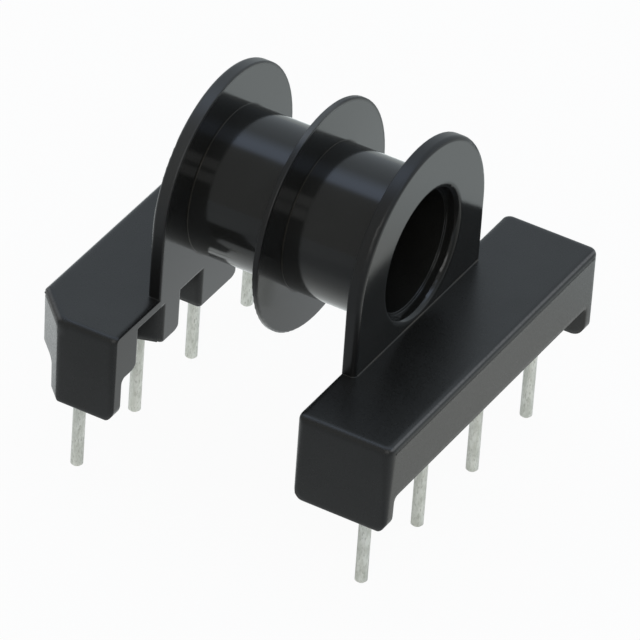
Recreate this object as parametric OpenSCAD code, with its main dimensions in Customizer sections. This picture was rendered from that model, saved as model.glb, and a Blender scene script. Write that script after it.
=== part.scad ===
// Coil former for a pot-type ferrite core with a round centre post.
// One moulded body with two winding sections, and eight straight terminal pins.
// X runs along the bore, Y along the terminal rails, Z up.
// The origin is the centre of the pin grid, on the seating plane under the feet.

/* [Terminals] */
// Distance between neighbouring pins of a row
pin_pitch = 5.08; // [4.8:0.02:5.4]
// Distance between the two rows of pins
row_spacing = 15.24; // [14.6:0.04:16]
// Pin diameter
pin_d = 0.6; // [0.5:0.02:0.8]
// Length of a pin below the seating plane
pin_out = 4.6; // [3:0.1:5.5]
// Depth of a pin in its rail
pin_in = 2.2; // [1.2:0.1:2.6]
// Side of the squared root that holds a pin in its rail
pin_root = 0.54; // [0.46:0.02:0.6]
// Bevel at the tip of a pin
pin_bevel = 0.08; // [0.04:0.01:0.15]

/* [Tube] */
// Bore for the centre post of the core
bore_d = 6.0; // [5.7:0.05:6.3]
// Wall of the tube around the bore
tube_wall = 0.65; // [0.45:0.05:0.8]
// Length of the winding space between the end flanges
winding_len = 9.6; // [8.8:0.1:10.4]
// Height of the bore axis above the seating plane
axis_z = 8.25; // [8.1:0.05:8.8]
// Depth of the wider mouth at each end of the bore
mouth_depth = 0.6; // [0.4:0.05:0.9]
// Step between the bore and a mouth
mouth_step = 0.18; // [0.16:0.01:0.22]
// Rounding of the edge of a mouth
mouth_r = 0.28; // [0.1:0.02:0.34]

/* [Flanges] */
// Diameter of all three flanges
flange_d = 11.45; // [10.6:0.05:12]
// Thickness of an end flange
flange_t = 0.7; // [0.6:0.05:0.9]
// Rounding of the rim of an end flange on its outer face
rim_r = 0.24; // [0.04:0.02:0.28]
// Rounding of that rim on the winding side
winding_rim_r = 0.08; // [0.04:0.02:0.2]
// Fillet where the end flanges meet the tube and the rail tops
seam_r = 0.04; // [0.03:0.01:0.1]
// Thickness of the middle flange at its rim
divider_t = 0.3; // [0.2:0.05:0.5]
// Rounding of its rim
divider_r = 0.08; // [0.02:0.02:0.08]
// Added thickness of the middle flange at the tube, for release from the mould
divider_taper = 0.12; // [0.04:0.02:0.3]

/* [Rails] */
// Distance from the end pins to the ends of a rail, at the top
rail_end = 1.95; // [1.7:0.05:2.4]
// Distance from a row of pins to the outer side of its rail, at the top
rail_out = 2.06; // [1.8:0.02:2.6]
// Height of the rail tops, where the core rests
rail_top = 4.75; // [4.5:0.05:4.9]
// Height of the underside at the pins
ledge_z = 1.75; // [1.4:0.05:2]
// Height of the underside of the wire guides
guide_z = 2.15; // [2.05:0.05:2.6]
// Thickness of a foot at the seating plane
foot_t = 0.65; // [0.5:0.05:0.8]
// Fillet between a foot and the underside
foot_root_r = 0.3; // [0.1:0.05:0.4]
// Release angle of the end and outer sides
draft = 1.2; // [0.4:0.1:2]
// Rounding of the edges at the top
top_r = 0.26; // [0.1:0.02:0.28]
// How far the inner side is trimmed back into its rounded edges
inner_trim = 0.1; // [0.02:0.02:0.16]
// Distance of the parting line of the mould below the top
parting = 0.36; // [0.36:0.02:0.6]
// Radius of the bead that the parting line leaves on the outer side
bead_r = 0.06; // [0.04:0.01:0.08]
// How far the bead stands out
bead_out = 0.03; // [0.01:0.01:0.03]
// Rounding of the upright corners
corner_r = 0.45; // [0.3:0.05:0.6]
// Rounding of the lower corners of the feet
foot_r = 0.7; // [0.2:0.05:0.8]
// Rounding of the end edge under a foot
foot_edge_r = 0.16; // [0.06:0.02:0.3]
// Corner chamfer that marks pin 1
key_chamfer = 1.8; // [1:0.1:2]

/* [Wire slots] */
// Wall between a wire slot and the pins
slot_wall = 0.65; // [0.3:0.05:0.9]
// Thickness of the roof over a wire slot
slot_roof = 0.45; // [0.25:0.05:0.6]
// Width of the slots beside the end pins
end_slot_w = 2.1; // [1.6:0.1:2.4]
// Distance of those slots from their pins, toward the middle
end_slot_shift = 1.2; // [1:0.05:1.4]
// Slant of those slots toward their pins
end_slot_slant = 19; // [0:1:22]
// Width of the slots at the inner pins
mid_slot_w = 1.75; // [1.4:0.05:2.1]
// Distance of those slots from their pins
mid_slot_shift = 0.33; // [0:0.01:0.5]
// Rounding of the upright edges at a slot mouth
slot_edge_r = 0.2; // [0.05:0.05:0.3]
// Rounding of the lower edge that a wire bends around
wire_edge_r = 0.55; // [0.2:0.05:0.7]

/* [Hidden] */
$fn = 64;

PINS_PER_ROW = 4;
// How far a cutter runs past the faces that it cuts
OVER = 1;

tube_d = bore_d + 2 * tube_wall;
inner_x = winding_len / 2;
face_x = inner_x + flange_t;
pin_x = row_spacing / 2;
outer_x = pin_x + rail_out;
row_y = [for (i = [0 : PINS_PER_ROW - 1]) (i - (PINS_PER_ROW - 1) / 2) * pin_pitch];
end_y = row_y[PINS_PER_ROW - 1] + rail_end;
parting_z = rail_top - parting;
foot_y = drafted(end_y, 0) - foot_t;
slot_x = pin_x - pin_root / 2 - slot_wall;
slot_depth = slot_x - inner_x;
slot_top = rail_top - slot_roof;
// The rounding of a mouth stops short of the rail top
mouth_edge_r = min(mouth_r, axis_z - rail_top - seam_r - bore_d / 2 - mouth_step);

// Place at height z of a drafted side that is at p on the parting line
function drafted(p, z) = p + (z - parting_z) * tan(draft);
function unit(v) = v / norm(v);
function xy(p, i) = [p[(i + len(p)) % len(p)].x, p[(i + len(p)) % len(p)].y];
// Unit directions from corner i of an outline to the corners before and after it
function to_prev(p, i) = unit(xy(p, i - 1) - xy(p, i));
function to_next(p, i) = unit(xy(p, i + 1) - xy(p, i));
// Half of the angle at corner i
function half_angle(p, i) = acos(to_prev(p, i) * to_next(p, i)) / 2;

// Convex outline from corners given as [x, y, rounding]
module rounded(p) {
    corners = [0 : len(p) - 1];
    polygon([for (i = corners, d = [to_prev(p, i), to_next(p, i)])
        xy(p, i) + d * p[i].z / tan(half_angle(p, i))]);
    for (i = corners)
        if (p[i].z > 0)
            translate(xy(p, i) + unit(to_prev(p, i) + to_next(p, i)) * p[i].z / sin(half_angle(p, i)))
                circle(p[i].z);
}

// Extrusions along X of outlines drawn as [y, z], and along Y of outlines drawn as [x, z]
module along_x(from, to) {
    translate([from, 0, 0])
        rotate([90, 0, 90])
            linear_extrude(to - from)
                children();
}
module along_y(from, to) {
    translate([0, to, 0])
        rotate([90, 0, 0])
            linear_extrude(to - from)
                children();
}
// Turns +Z onto the axis of the bore
module bore_axis() {
    translate([0, 0, axis_z])
        rotate([0, 90, 0])
            children();
}

// Outline of a fillet in the corner at the origin, open to the first quadrant, with stock behind both sides
module seam() {
    difference() {
        translate([-seam_r, -seam_r])
            square(2 * seam_r);
        translate([seam_r, seam_r])
            circle(seam_r);
    }
}

// Fillets of the end flange on the +X side
module flange_seams() {
    bore_axis()
        rotate_extrude()
            translate([tube_d / 2, inner_x])
                mirror([0, 1])
                    seam();
    along_y(rim_r - flange_d / 2, flange_d / 2 - rim_r)
        translate([face_x, rail_top])
            seam();
}

// End flange on the +X side: round above the axis, straight from there down to the roof of the wire slots
module end_flange() {
    intersection() {
        bore_axis()
            rotate_extrude()
                rounded([
                    [0, inner_x, 0], [flange_d / 2, inner_x, winding_rim_r],
                    [flange_d / 2, face_x, rim_r], [0, face_x, 0]
                ]);
        translate([inner_x, -flange_d / 2, axis_z])
            cube([flange_t, flange_d, flange_d / 2]);
    }
    translate([0, 0, slot_top])
        linear_extrude(axis_z - slot_top)
            rounded([
                [inner_x, -flange_d / 2, winding_rim_r], [face_x, -flange_d / 2, rim_r],
                [face_x, flange_d / 2, rim_r], [inner_x, flange_d / 2, winding_rim_r]
            ]);
}

// Middle flange, thicker at the tube than at the rim
module divider() {
    root_t = divider_t + divider_taper;
    bore_axis()
        rotate_extrude()
            rounded([
                [(bore_d + tube_wall) / 2, -root_t / 2, 0], [flange_d / 2, -divider_t / 2, divider_r],
                [flange_d / 2, divider_t / 2, divider_r], [(bore_d + tube_wall) / 2, root_t / 2, 0]
            ]);
}

// Cutter for the bore and its two mouths
module bore() {
    edge = bore_d / 2 + mouth_step + mouth_edge_r;
    bore_axis() {
        cylinder(d = bore_d, h = 2 * (outer_x + OVER), center = true);
        for (turn = [0, 180])
            rotate([turn, 0, 0]) {
                translate([0, 0, face_x - mouth_depth])
                    cylinder(d = bore_d + 2 * mouth_step, h = mouth_depth);
                rotate_extrude()
                    translate([0, face_x - mouth_edge_r])
                        difference() {
                            square([edge, mouth_edge_r]);
                            translate([edge, 0])
                                circle(mouth_edge_r);
                        }
            }
    }
}

// Outline between two upright sides at from and to, rounded at the top
module top_rounded(from, to) {
    rounded([
        [from, 0, 0], [to, 0, 0],
        [to, rail_top, top_r], [from, rail_top, top_r]
    ]);
}

// Rail before its sides are trimmed and drafted, with a rounded top edge that runs around its rounded corners
module rail_block() {
    from_x = inner_x - inner_trim;
    along_y(corner_r - end_y, end_y - corner_r)
        top_rounded(from_x, outer_x);
    along_x(from_x + corner_r, outer_x - corner_r)
        top_rounded(-end_y, end_y);
    for (x = [from_x + corner_r, outer_x - corner_r], side = [-1, 1])
        translate([x, side * (end_y - corner_r), 0])
            rotate_extrude()
                intersection() {
                    top_rounded(-corner_r, corner_r);
                    square([corner_r, rail_top]);
                }
}

// Outline across a rail, with its drafted outer side and the rounded lower corners of its feet
module cross_view() {
    rounded([
        [inner_x, 0, foot_r], [drafted(outer_x, 0), 0, foot_r],
        [drafted(outer_x, rail_top + OVER), rail_top + OVER, 0], [inner_x, rail_top + OVER, 0]
    ]);
}

// Outline across the key chamfer, whose top edge is at x, rounded alike above and below
module key_view(x) {
    rounded([
        [-x, 0, 0], [x - rail_top * tan(draft), 0, top_r],
        [x, rail_top, top_r], [-x, rail_top, 0]
    ]);
}

// Outline along a rail, with both drafted ends
module side_view() {
    rounded([
        [-drafted(end_y, 0), 0, foot_edge_r], [drafted(end_y, 0), 0, foot_edge_r],
        [drafted(end_y, rail_top + OVER), rail_top + OVER, 0],
        [-drafted(end_y, rail_top + OVER), rail_top + OVER, 0]
    ]);
}

// Space between the feet, from the inner side of a rail out to x, up to height z
module foot_gap(x, z) {
    along_x(inner_x - OVER, x)
        rounded([
            [-foot_y, -OVER, 0], [foot_y, -OVER, 0],
            [foot_y, z, foot_root_r], [-foot_y, z, foot_root_r]
        ]);
}

// Wire slot, open to the inner side and below, its mouth centred on the X axis
module wire_slot(w, slant) {
    shift = slot_depth * tan(slant);
    translate([inner_x, 0, ledge_z])
        linear_extrude(slot_top - ledge_z) {
            polygon([[0, -w / 2], [slot_depth, shift - w / 2], [slot_depth, shift + w / 2], [0, w / 2]]);
            // Rounded upright edges at the mouth
            difference() {
                translate([-OVER, -w / 2 - slot_edge_r])
                    square([OVER + slot_edge_r, w + 2 * slot_edge_r]);
                for (side = [-1, 1])
                    translate([slot_edge_r, side * (w / 2 + slot_edge_r)])
                        circle(slot_edge_r);
            }
        }
    // Rounded lower edge on the side that the wire is drawn against
    along_x(inner_x - OVER, slot_x)
        difference() {
            translate([w / 2 - OVER, guide_z - OVER])
                square([OVER + wire_edge_r, OVER + wire_edge_r]);
            translate([w / 2 + wire_edge_r, guide_z + wire_edge_r])
                circle(wire_edge_r);
        }
}

// Terminal rail on the +X side, with its +Y outer corner cut off by a chamfer if key is above 0
module rail(key) {
    key_d = (outer_x + end_y - key) / sqrt(2);
    difference() {
        union() {
            intersection() {
                rail_block();
                along_y(-end_y - OVER, end_y + OVER)
                    cross_view();
                along_x(inner_x - OVER, outer_x + OVER)
                    side_view();
                if (key > 0)
                    rotate([0, 0, 45])
                        along_y(-outer_x - end_y, outer_x + end_y)
                            key_view(key_d);
            }
            along_y(corner_r - end_y, end_y - max(corner_r, key))
                translate([outer_x + bead_out - bead_r, parting_z])
                    circle(bead_r);
        }
        // The underside is higher at the wire guides than at the pins
        foot_gap(outer_x + OVER, ledge_z);
        foot_gap(slot_x, guide_z);
        for (side = [-1, 1])
            translate([0, side * (row_y[PINS_PER_ROW - 1] - end_slot_shift), 0])
                mirror([0, side < 0 ? 1 : 0, 0])
                    wire_slot(end_slot_w, end_slot_slant);
        for (i = [1 : PINS_PER_ROW - 2])
            translate([0, row_y[i] + mid_slot_shift, 0])
                wire_slot(mid_slot_w, 0);
        for (y = row_y)
            translate([pin_x - pin_root / 2, y - pin_root / 2, ledge_z - OVER])
                cube([pin_root, pin_root, OVER + pin_in]);
    }
}

module coil_former() {
    color("#2b2d2e")
        difference() {
            union() {
                bore_axis()
                    cylinder(d = tube_d, h = 2 * face_x, center = true);
                divider();
                end_flange();
                flange_seams();
                rail(0);
                rotate([0, 0, 180]) {
                    end_flange();
                    flange_seams();
                    rail(key_chamfer);
                }
            }
            bore();
        }
}

// Pins 1 to 4 run along the marked rail from its chamfer, pins 5 to 8 back along the other rail
module pin(n) {
    row = n > PINS_PER_ROW ? 1 : -1;
    i = n > PINS_PER_ROW ? 2 * PINS_PER_ROW - n : n - 1;
    color("#c4c6be")
        translate([row * pin_x, row_y[i], -pin_out]) {
            cylinder(d1 = pin_d - 2 * pin_bevel, d2 = pin_d, h = pin_bevel);
            translate([0, 0, pin_bevel])
                cylinder(d = pin_d, h = pin_out + ledge_z - pin_bevel);
            translate([-pin_root / 2, -pin_root / 2, pin_out + ledge_z])
                cube([pin_root, pin_root, pin_in]);
        }
}

coil_former();
for (n = [1 : 2 * PINS_PER_ROW])
    pin(n);
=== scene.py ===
import math

import bpy
from mathutils import Matrix, Vector


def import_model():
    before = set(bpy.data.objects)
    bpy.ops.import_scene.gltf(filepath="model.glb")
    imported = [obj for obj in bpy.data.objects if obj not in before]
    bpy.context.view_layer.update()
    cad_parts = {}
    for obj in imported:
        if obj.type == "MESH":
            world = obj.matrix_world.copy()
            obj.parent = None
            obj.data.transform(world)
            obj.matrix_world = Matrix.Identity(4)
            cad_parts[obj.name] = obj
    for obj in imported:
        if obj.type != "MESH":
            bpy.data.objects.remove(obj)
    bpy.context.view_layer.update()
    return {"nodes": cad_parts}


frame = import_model()
scene = bpy.context.scene
MM = 0.001

# The photograph's camera, fitted to the edges of the former: angles in degrees, lengths in millimetres
AZIMUTH, ELEVATION, ROLL = 28.168, 36.152, 4.186
FOCAL_PX, FRAME_PX, SENSOR = 8748.6, 640, 36.0
DISTANCE, SHIFT_RIGHT, SHIFT_UP = 399.952, -0.1796, 3.0058
AIM = Vector((0, 0, 6.0))

# Places on the former, in millimetres. The bore runs along X, at the height AXIS_Z
AXIS_Z, TUBE_R, FLANGE_R = 8.25, 3.65, 5.725
# Inner and outer faces of the end flanges, and the root of the middle flange
INNER_X, FACE_X, DIVIDER_ROOT_X = 4.8, 5.5, 0.2
RAIL_TOP = 4.75
# Plan distance of the key chamfer's face from the middle of the pin grid
KEY_OUT = 12.339

# The ends of a ramp that falls from full to nothing
FALL = (1.0, 0.0)
WHITE = (1, 1, 1, 1)


def camera():
    a, e, r = (math.radians(v) for v in (AZIMUTH, ELEVATION, ROLL))
    back = Vector((math.sin(a) * math.cos(e), -math.cos(a) * math.cos(e), math.sin(e)))
    level = Vector((math.cos(a), math.sin(a), 0))
    rise = back.cross(level)
    right = math.cos(r) * level + math.sin(r) * rise
    up = back.cross(right)
    place = (AIM - SHIFT_RIGHT * right - SHIFT_UP * up + DISTANCE * back) * MM
    data = bpy.data.cameras.new("camera")
    data.sensor_width = SENSOR
    data.lens = FOCAL_PX / FRAME_PX * SENSOR
    cam = bpy.data.objects.new("camera", data)
    axes = Matrix((right, up, back)).transposed()
    cam.matrix_world = Matrix.Translation(place) @ axes.to_4x4()
    scene.collection.objects.link(cam)
    scene.camera = cam


class Nodes:
    """Short calls to add and join the nodes of a tree."""

    def __init__(self, tree):
        self.tree = tree
        tree.nodes.clear()

    def add(self, kind, inputs=None, **settings):
        node = self.tree.nodes.new(kind)
        for name, value in settings.items():
            setattr(node, name, value)
        for key, value in (inputs or {}).items():
            self.put(node.inputs[key], value)
        return node

    def put(self, socket, value):
        if isinstance(value, bpy.types.NodeSocket):
            self.tree.links.new(value, socket)
        else:
            socket.default_value = value

    def first(self, kind, inputs=None, **settings):
        """The first output of a new node."""
        return self.add(kind, inputs, **settings).outputs[0]

    def axes(self, vector):
        """The x, y and z of a vector."""
        return tuple(self.add("ShaderNodeSeparateXYZ", {0: vector}).outputs)

    def math(self, operation, a, b=0.0):
        return self.first("ShaderNodeMath", {0: a, 1: b}, operation=operation)

    def times(self, *values):
        """The product of the values."""
        product = values[0]
        for value in values[1:]:
            product = self.math("MULTIPLY", product, value)
        return product

    def length(self, a, b):
        """The length of the vector (a, b)."""
        return self.math("SQRT", self.math("ADD", self.times(a, a), self.times(b, b)))

    def ramp(self, value, limits, ends=(0.0, 1.0)):
        """A smooth step between the ends as value goes from the first limit to the second."""
        node = self.add("ShaderNodeMapRange", {"Value": value}, interpolation_type="SMOOTHSTEP")
        for name, number in zip(("From Min", "From Max", "To Min", "To Max"), (*limits, *ends)):
            node.inputs[name].default_value = number
        return node.outputs["Result"]

    def noise(self, at, scale, detail=2.0, rough=0.5):
        inputs = {"Vector": at, "Scale": scale, "Detail": detail, "Roughness": rough}
        return self.add("ShaderNodeTexNoise", inputs).outputs["Fac"]

    def blend(self, share, a, b):
        """A number that goes from a to b with the share."""
        return self.first("ShaderNodeMix", {0: share, 2: a, 3: b})

    def mix(self, share, a, b):
        """A colour that goes from a to b with the share."""
        return self.add("ShaderNodeMix", {0: share, 6: a, 7: b}, data_type="RGBA").outputs[2]

    def mix_shader(self, share, a, b):
        return self.first("ShaderNodeMixShader", {0: share, 1: a, 2: b})


def new_material(name):
    m = bpy.data.materials.new(name)
    m.use_nodes = True
    return m, Nodes(m.node_tree)


def position_mm(n):
    """Position on the object in millimetres."""
    at = n.add("ShaderNodeTexCoord").outputs["Object"]
    return n.first("ShaderNodeVectorMath", {0: at, 3: 1 / MM}, operation="SCALE")


class Place:
    """Position on the former, in millimetres, and its distances from the forms that the masks follow."""

    def __init__(self, n):
        self.mm = position_mm(n)
        self.x, self.y, self.z = n.axes(self.mm)
        self.out_x = n.math("ABSOLUTE", self.x)
        self.out_y = n.math("ABSOLUTE", self.y)
        self.rise = n.math("SUBTRACT", self.z, AXIS_Z)
        self.radius = n.length(self.y, self.rise)
        # Inwards from the face of the key chamfer
        self.key = n.math("ADD", n.times(n.math("ADD", self.x, self.y), math.sqrt(0.5)), KEY_OUT)


# The lower outer parts of the former are the rails
RAIL_X, RAIL_Z = (4.78, 4.9), (RAIL_TOP + 0.02, RAIL_TOP + 0.07)


def rails(n, p):
    """Mask of the matted rails."""
    return n.times(n.ramp(p.out_x, RAIL_X), n.ramp(p.z, RAIL_Z, FALL))


# Half-width of a resin line, and where the one at a flange's foot ends
SEAM_FADE, SEAM_END = (0.04, 0.09), (FLANGE_R - 0.25, FLANGE_R - 0.2)


def seams(n, p):
    """Masks of the dull resin lines in the roots of the flanges, on the tube and on the rails."""

    def near(value, at):
        return n.ramp(n.math("ABSOLUTE", n.math("SUBTRACT", value, at)), SEAM_FADE, FALL)

    ends = n.math("MAXIMUM", near(p.out_x, INNER_X), near(p.out_x, DIVIDER_ROOT_X))
    on_tube = n.times(ends, near(p.radius, TUBE_R))
    on_rail = n.times(n.ramp(p.out_y, SEAM_END, FALL), near(p.out_x, FACE_X), near(p.z, RAIL_TOP))
    return on_tube, on_rail


# Depth of the trimmed rims
RIM_FADE = (FLANGE_R - 0.22, FLANGE_R - 0.1)


def rims(n, p, rail):
    """Mask of the trimmed rims of the flanges, round above the axis and upright below it."""
    arch = n.length(p.y, n.math("MAXIMUM", p.rise, 0.0))
    return n.times(n.ramp(arch, RIM_FADE), n.math("SUBTRACT", 1.0, rail))


# Where the rims are paler: growing with height on the rear flange, and a painted highlight on the crest of
# the middle one
REAR_X, REAR_Z, REAR_PALING = (-4.4, -4.6), (AXIS_Z - 1.0, AXIS_Z + 4.0), (0.0, 0.36)
MIDDLE_X, CREST_Z, CREST_Y = (0.6, 0.5), (AXIS_Z + 5.1, AXIS_Z + 5.5), (1.8, 0.2)


def rim_paling_and_crest_highlight(n, p):
    """Paler rims: paler with height on the rear flange, and a painted highlight on the crest of the middle
    one.
    """
    rear = n.times(n.ramp(p.x, REAR_X), n.ramp(p.z, REAR_Z, REAR_PALING))
    middle = n.times(n.ramp(p.out_x, MIDDLE_X), n.ramp(p.z, CREST_Z), n.ramp(p.y, CREST_Y))
    return n.math("MAXIMUM", rear, middle)


# Middle of the painted highlight line along the rails' outer top edges, and its half-width
EDGE_HIGHLIGHT_X, EDGE_HIGHLIGHT_Z, EDGE_HIGHLIGHT_FADE = 9.575, 4.7, (0.02, 0.1)


def painted_edge_highlight(n, p):
    """Mask of the painted highlight line along the outer top edges of the rails."""
    apart = n.length(n.math("SUBTRACT", p.out_x, EDGE_HIGHLIGHT_X), n.math("SUBTRACT", p.z, EDGE_HIGHLIGHT_Z))
    return n.ramp(apart, EDGE_HIGHLIGHT_FADE, FALL)


# Ends of the key chamfer's top edge, the painted highlight strip along it, and the dull side of the edge
KEY_END_Y, KEY_END_X = (-9.54, -9.44), (-9.66, -9.56)
KEY_HIGHLIGHT_IN, KEY_HIGHLIGHT_Z, KEY_HIGHLIGHT_SHARE = (0.22, 0.1), (RAIL_TOP - 0.4, RAIL_TOP - 0.33), (0.0, 0.6)
DULL_IN, DULL_Z = (0.12, 0.04), (RAIL_TOP - 0.54, RAIL_TOP - 0.48)


def key_edge(n, p):
    """Masks of the painted highlight strip along the key chamfer's top edge and of the dull side of that
    edge.
    """
    ends = n.times(n.ramp(p.y, KEY_END_Y), n.ramp(p.x, KEY_END_X))
    # The pale strip is a painted highlight where the chamfer's top edge would be rounded
    pale = n.times(n.ramp(p.key, KEY_HIGHLIGHT_IN, KEY_HIGHLIGHT_SHARE), n.ramp(p.z, KEY_HIGHLIGHT_Z), ends)
    dull = n.times(n.ramp(p.key, DULL_IN), n.ramp(p.z, DULL_Z), ends)
    return pale, dull


# The rounded edge of a mouth, and the side of it that is duller
MOUTH_INNER_R, MOUTH_OUTER_R = (3.2, 3.28), (3.62, 3.5)
MOUTH_X, MOUTH_Y = (FACE_X - 0.3, FACE_X - 0.2), (0.5, 2.5)


def mouths(n, p):
    """Mask of the duller +Y side of the rounded edges of the bore's mouths."""
    edge = n.times(n.ramp(p.radius, MOUTH_INNER_R), n.ramp(p.radius, MOUTH_OUTER_R))
    return n.times(edge, n.ramp(p.out_x, MOUTH_X), n.ramp(p.y, MOUTH_Y))


# Radii over which the edges look rounded, the flanges' feet, and the key chamfer's surroundings
EDGE_FLANGE, EDGE_RAIL, EDGE_KEY = 0.07 * MM, 0.36 * MM, 0.7 * MM
FOOT_X, FOOT_Y = (FACE_X + 0.25, FACE_X + 0.45), (FLANGE_R + 0.1, FLANGE_R + 0.3)
FOOT_Z = (RAIL_TOP - 0.35, RAIL_TOP - 0.15)
SOFT_IN, SOFT_Z = (0.5, 0.3), (RAIL_TOP - 1.0, RAIL_TOP - 0.7)


def soft_edge(n, p, rail):
    """Radius over which an edge looks rounded: wide on the rails, narrow on the flanges and their feet."""
    foot = n.times(n.ramp(p.out_x, FOOT_X, FALL), n.ramp(p.out_y, FOOT_Y, FALL), n.ramp(p.z, FOOT_Z))
    wide = n.times(rail, n.math("SUBTRACT", 1.0, foot))
    key = n.times(n.ramp(p.key, SOFT_IN), n.ramp(p.z, SOFT_Z))
    return n.blend(key, n.blend(wide, EDGE_FLANGE, EDGE_RAIL), EDGE_KEY)


# Slope of the end flanges' outer faces, and what counts as such a face
LEAN, LEAN_FACING = 0.036, (0.9, 0.97)
LEAN_X, LEAN_Z = (FACE_X - 0.1, FACE_X - 0.05), (RAIL_TOP + 0.05, RAIL_TOP + 0.15)


def leaning(n, p, normal):
    """The normal, tipped up by about two degrees on the outer faces of the end flanges."""
    flat = n.add("ShaderNodeNewGeometry").outputs["True Normal"]
    outward = n.times(n.axes(flat)[0], n.math("SIGN", p.x))
    face = n.times(n.ramp(outward, LEAN_FACING), n.ramp(p.out_x, LEAN_X), n.ramp(p.z, LEAN_Z))
    tilt = n.first("ShaderNodeCombineXYZ", {2: n.times(face, LEAN)})
    bent = n.first("ShaderNodeVectorMath", {0: normal, 1: tilt}, operation="ADD")
    return n.first("ShaderNodeVectorMath", {0: bent}, operation="NORMALIZE")


# Colours of the moulding
BLACK_DEEP, BLACK_PALE = (0.0094, 0.0094, 0.0086, 1), (0.0124, 0.0124, 0.0116, 1)
# The paler rim colour is also a painted highlight on the crest of the middle flange
RIM_PLAIN, RIM_PALE_AND_HIGHLIGHT = (0.0045, 0.0045, 0.0045, 1), (0.065, 0.065, 0.063, 1)
# A pale colour painted as a highlight along the rails' outer top edges and the key chamfer's top edge
EDGE_HIGHLIGHT, RESIN = (0.116, 0.11, 0.106, 1), (0.04, 0.034, 0.025, 1)
# Noise scales per millimetre, how much resin shows on the tube, and the least and most along the resin
# lines and the painted highlight lines
CLOUD, GRAIN, FINE, PATCH = 0.45, 9.0, 26.0, 0.8
TUBE_RESIN, RESIN_PATCHES, EDGE_HIGHLIGHT_PATCHES = 0.4, (0.25, 0.9), (0.7, 1.0)
# Roughness: the least and the rise with the noise, and the rims and the resin
ROUGH_FACE, ROUGH_RAIL = (0.11, 0.03), (0.27, 0.08)
ROUGH_RIM, ROUGH_RESIN = 0.36, 0.5
# Specular level: usual, in the roots on the tube, on the key chamfer's edge and on the mouths
GLOSS, GLOSS_ROOT, GLOSS_KEY, GLOSS_MOUTH = 0.5, 0.2, 0.05, 0.2
BUMP_FACE, BUMP_RAIL, BUMP_DEPTH = 0.02, 0.05, 0.02 * MM
REFRACTION, EDGE_SAMPLES = 1.55, 8


def moulding():
    """Black thermoset: polished tube and flanges, finely matted rails."""
    m, n = new_material("moulding")
    p = Place(n)
    rail = rails(n, p)
    rim = rims(n, p, rail)
    on_tube, on_rail = seams(n, p)
    pale, dull = key_edge(n, p)
    cloud = n.noise(p.mm, CLOUD, 3.0)
    grain = n.noise(p.mm, GRAIN, 3.0, 0.6)
    fine = n.noise(p.mm, FINE, 2.0, 0.6)
    seam = n.math("MAXIMUM", n.times(on_tube, TUBE_RESIN), on_rail)
    bled = n.times(seam, n.ramp(n.noise(p.mm, PATCH, 2.0), (0.3, 0.65), RESIN_PATCHES))
    # Painted highlights along the rails' outer top edges and the key chamfer's top edge, broken up by the
    # grain
    line = n.math("MAXIMUM", painted_edge_highlight(n, p), pale)
    highlighted_edges = n.times(line, n.ramp(grain, (0.3, 0.6), EDGE_HIGHLIGHT_PATCHES))

    black = n.mix(n.ramp(cloud, (0.3, 0.7)), BLACK_DEEP, BLACK_PALE)
    # Rims: paler towards the top of the rear flange, and a painted highlight on the middle flange's crest
    trimmed = n.mix(rim, black, n.mix(rim_paling_and_crest_highlight(n, p), RIM_PLAIN, RIM_PALE_AND_HIGHLIGHT))
    base = n.mix(bled, n.mix(highlighted_edges, trimmed, EDGE_HIGHLIGHT), RESIN)

    rough_face = n.math("ADD", ROUGH_FACE[0], n.times(n.ramp(cloud, (0.35, 0.7)), ROUGH_FACE[1]))
    rough_rail = n.math("ADD", ROUGH_RAIL[0], n.times(n.ramp(grain, (0.3, 0.7)), ROUGH_RAIL[1]))
    rough_clean = n.blend(rail, n.blend(rim, rough_face, ROUGH_RIM), rough_rail)
    rough = n.blend(bled, rough_clean, ROUGH_RESIN)

    gloss_key = n.blend(dull, n.blend(on_tube, GLOSS, GLOSS_ROOT), GLOSS_KEY)
    gloss = n.blend(mouths(n, p), gloss_key, GLOSS_MOUTH)

    edge = n.first("ShaderNodeBevel", {"Radius": soft_edge(n, p, rail)}, samples=EDGE_SAMPLES)
    strength = n.blend(rail, BUMP_FACE, BUMP_RAIL)
    relief = {"Strength": strength, "Distance": BUMP_DEPTH, "Height": fine}
    bump = n.first("ShaderNodeBump", {**relief, "Normal": leaning(n, p, edge)})
    look = {"Base Color": base, "Roughness": rough, "IOR": REFRACTION, "Specular IOR Level": gloss}
    shader = n.first("ShaderNodeBsdfPrincipled", {**look, "Normal": bump})
    n.add("ShaderNodeOutputMaterial", {"Surface": shader})
    return m


# Colours of the tin, the drawing-out of its marks along the pin, and noise scales per millimetre
TIN_DARK, TIN_PALE, TIN_SPECK = (0.7, 0.71, 0.64, 1), (0.9, 0.905, 0.84, 1), (0.56, 0.565, 0.5, 1)
TIN_DRAWN, BLOTCH, SPECK = (1.0, 1.0, 0.35), 4.0, 11.0
ROUGH_TIN, TIN_METALLIC, TIN_BUMP = (0.3, 0.15), 0.4, 0.16


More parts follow.
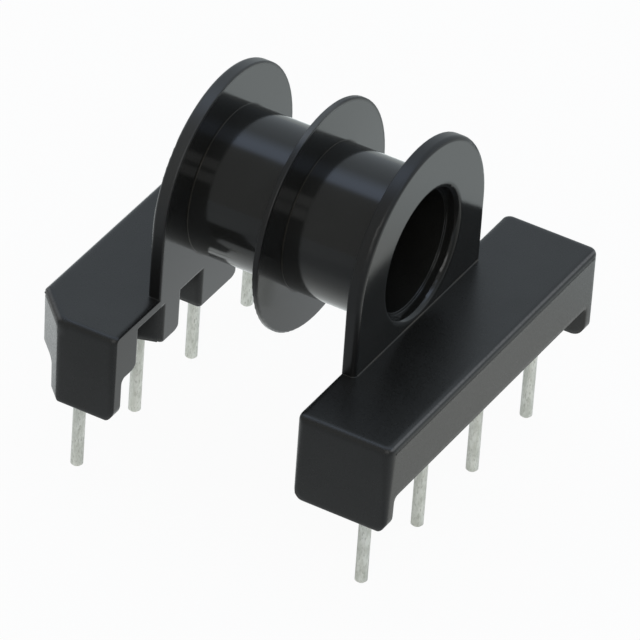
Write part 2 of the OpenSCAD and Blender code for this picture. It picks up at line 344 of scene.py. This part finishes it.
def tinned():
    """Dull tinned wire: pale grey with a warm cast, mottled by the dip."""
    m, n = new_material("pin")
    drawn = n.first("ShaderNodeVectorMath", {0: position_mm(n), 1: TIN_DRAWN}, operation="MULTIPLY")
    blotch = n.noise(drawn, BLOTCH, 3.0, 0.6)
    speck = n.noise(drawn, SPECK, 3.0, 0.6)
    clean = n.mix(n.ramp(blotch, (0.34, 0.66)), TIN_DARK, TIN_PALE)
    base = n.mix(n.ramp(speck, (0.3, 0.5)), TIN_SPECK, clean)
    rough = n.math("ADD", ROUGH_TIN[0], n.times(n.ramp(speck, (0.3, 0.7)), ROUGH_TIN[1]))
    bump = n.first("ShaderNodeBump", {"Strength": TIN_BUMP, "Distance": BUMP_DEPTH, "Height": speck})
    look = {"Base Color": base, "Roughness": rough, "Metallic": TIN_METALLIC, "Normal": bump}
    shader = n.first("ShaderNodeBsdfPrincipled", look)
    n.add("ShaderNodeOutputMaterial", {"Surface": shader})
    return m


# The floor lies at the pin tips, in millimetres, and reaches this far each way, in metres
FLOOR_Z, FLOOR_HALF = -4.6, 3.0
FLOOR_PAINT = (0.8, 0.8, 0.79, 1)
# Tints of the floor as gloss sees it, and the places in millimetres where they change
TINT_NEAR, TINT_FRONT, TINT_BACK = (0.98, 1.02, 1.01, 1), (1.0, 1.01, 0.94, 1), (0.95, 1.03, 1.01, 1)
FRONT_X, FRONT_Y, BACK_Y = (6.0, 12.0), (-12.0, -4.0), (13.0, 22.0)
# Its brightness as gloss sees it: it rises to the back, lifts there, and falls far away
RISE_Y, RISE = (-24.0, 2.0), (0.16, 0.98)
LIFT_Y, LIFT = (15.0, 24.0), (0.0, 0.3)
FAR_Y, FAR = (25.0, 42.0), (1.0, 0.42)
# Brighter places: at the left, and under the former
LEFT_X, LEFT_Y, LEFT_GAIN = (-11.0, -17.0), (8.0, 0.0), 0.6
UNDER_X, UNDER_Y, UNDER_GAIN = (6.0, -1.0), (-12.0, -4.0), 0.42
# Share of the lit paint in what gloss sees and in what the camera sees
LIT_IN_GLOSS, LIT_IN_VIEW = 0.4, 0.05


def floor():
    """White floor: to the camera white but for a trace of shadow, to gloss brighter behind."""
    mesh = bpy.data.meshes.new("floor")
    signs = ((-1, -1), (1, -1), (1, 1), (-1, 1))
    corners = [(sx * FLOOR_HALF, sy * FLOOR_HALF, FLOOR_Z * MM) for sx, sy in signs]
    mesh.from_pydata(corners, [], [(0, 1, 2, 3)])
    o = bpy.data.objects.new("floor", mesh)
    scene.collection.objects.link(o)
    m, n = new_material("floor")
    x, y = n.axes(position_mm(n))[:2]
    path = n.add("ShaderNodeLightPath").outputs
    lit = n.first("ShaderNodeBsdfDiffuse", {"Color": FLOOR_PAINT})

    front = n.times(n.ramp(y, FRONT_Y), n.ramp(x, FRONT_X))
    tint = n.mix(n.ramp(y, BACK_Y), n.mix(front, TINT_NEAR, TINT_FRONT), TINT_BACK)
    rise = n.math("ADD", n.ramp(y, RISE_Y, RISE), n.ramp(y, LIFT_Y, LIFT))
    left = n.times(n.ramp(x, LEFT_X), n.ramp(y, LEFT_Y), LEFT_GAIN)
    under = n.times(n.ramp(x, UNDER_X), n.ramp(y, UNDER_Y), UNDER_GAIN)
    gain = n.math("ADD", 1.0, n.math("ADD", under, left))
    bright = n.times(rise, gain, n.ramp(y, FAR_Y, FAR))
    glow = n.first("ShaderNodeEmission", {"Color": tint, "Strength": bright})
    mirrored = n.mix_shader(LIT_IN_GLOSS, glow, lit)

    white = n.first("ShaderNodeEmission", {"Color": WHITE, "Strength": 1.0})
    seen = n.mix_shader(LIT_IN_VIEW, white, lit)
    gloss = n.math("MAXIMUM", path["Is Glossy Ray"], path["Is Transmission Ray"])
    other = n.mix_shader(gloss, lit, mirrored)
    n.add("ShaderNodeOutputMaterial", {"Surface": n.mix_shader(path["Is Camera Ray"], other, seen)})
    mesh.materials.append(m)


# The room's walls: brightness and tint from the front to the back
WALL_Y, WALL = (-0.35, 0.6), (0.34, 0.62)
TINT_Y, ROOM_FRONT, ROOM_BACK = (-0.3, 0.3), (0.98, 1.0, 0.98, 1), (0.9, 1.0, 1.08, 1)
# The diffuser overhead: a band across Y, high up
BAND_BACK_Y, BAND_FRONT_Y, BAND_Z = (0.55, 0.15), (-0.1, 0.06), (0.55, 0.8)
COOL, COOL_LEVEL = (0.78, 0.97, 1.36, 1), 0.75
# The fill round the lens, by the cosine from the lens: broad as light, a ring as gloss sees it
LENS_WAY, FILL_COLOUR = (0.381, -0.711, 0.59), (1.0, 1.0, 0.98, 1)
BROAD, BROAD_LEVEL = (0.9, 0.985), 2.4
RING_OUTER, RING_INNER, RING_LEVEL = (0.95, 0.968), (0.999, 0.996), (0.0, 1.4)


def world():
    """Soft studio: pale wall behind, cool diffuser overhead, fill round the lens, dim room in front."""
    w = bpy.data.worlds.new("studio")
    scene.world = w
    w.use_nodes = True
    n = Nodes(w.node_tree)
    path = n.add("ShaderNodeLightPath").outputs
    way = n.add("ShaderNodeTexCoord").outputs["Generated"]
    y, z = n.axes(way)[1:]

    tint = n.mix(n.ramp(y, TINT_Y), ROOM_FRONT, ROOM_BACK)
    room = n.first("ShaderNodeBackground", {"Color": tint, "Strength": n.ramp(y, WALL_Y, WALL)})
    over = n.times(n.ramp(y, BAND_BACK_Y), n.ramp(y, BAND_FRONT_Y), n.ramp(z, BAND_Z), COOL_LEVEL)
    cool = n.first("ShaderNodeBackground", {"Color": COOL, "Strength": over})
    dot = n.add("ShaderNodeVectorMath", {0: way, 1: LENS_WAY}, operation="DOT_PRODUCT")
    lens = dot.outputs["Value"]
    broad = n.times(n.ramp(lens, BROAD), BROAD_LEVEL)
    ring = n.times(n.ramp(lens, RING_OUTER), n.ramp(lens, RING_INNER, RING_LEVEL))
    fill = n.blend(path["Is Glossy Ray"], broad, ring)
    near = n.first("ShaderNodeBackground", {"Color": FILL_COLOUR, "Strength": fill})

    lights = n.first("ShaderNodeAddShader", {0: cool, 1: near})
    soft = n.first("ShaderNodeAddShader", {0: room, 1: lights})
    white = n.first("ShaderNodeBackground", {"Color": WHITE, "Strength": 1.0})
    n.add("ShaderNodeOutputWorld", {"Surface": n.mix_shader(path["Is Camera Ray"], soft, white)})


camera()
floor()
world()
body, wire = moulding(), tinned()
for name, node in frame["nodes"].items():
    node.material_slots[0].material = wire if name.startswith("pin_") else body
scene.view_settings.view_transform = "Standard"
